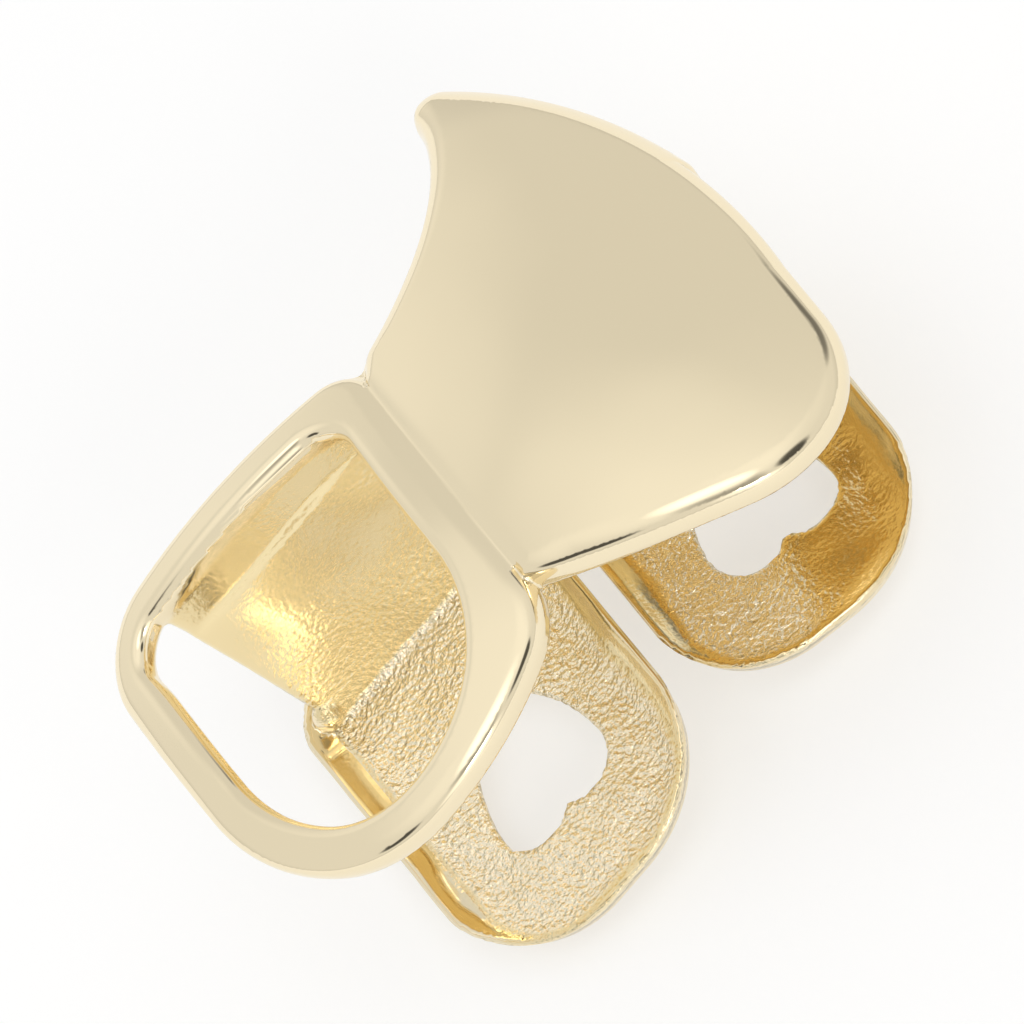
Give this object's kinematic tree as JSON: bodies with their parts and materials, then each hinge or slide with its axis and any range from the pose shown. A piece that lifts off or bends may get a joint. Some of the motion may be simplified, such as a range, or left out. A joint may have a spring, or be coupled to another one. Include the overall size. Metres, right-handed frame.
{
  "type": "grillz tooth cover",
  "caption": "Cast gold-plated cover for neighbouring upper teeth: an open framed cap joined at a seam to a solid cap with a fang, each with a back plate holed with a heart.",
  "frame": {"origin": "centre of the bounding box in X and Y, on the surface that the two back plates lie on", "axes": "+X across the two teeth from the open cap to the fang cap, +Y towards the biting edge and the fang's point, +Z out of the front faces"},
  "size_m": [0.0176, 0.0166, 0.0081],
  "materials": {
    "plated_gold": "mirror-polished pale gold plate outside, bright grainy cast surface inside"
  },
  "bodies": {
    "root": {"tooth_cover": "plated_gold"}
  },
  "joints": []
}
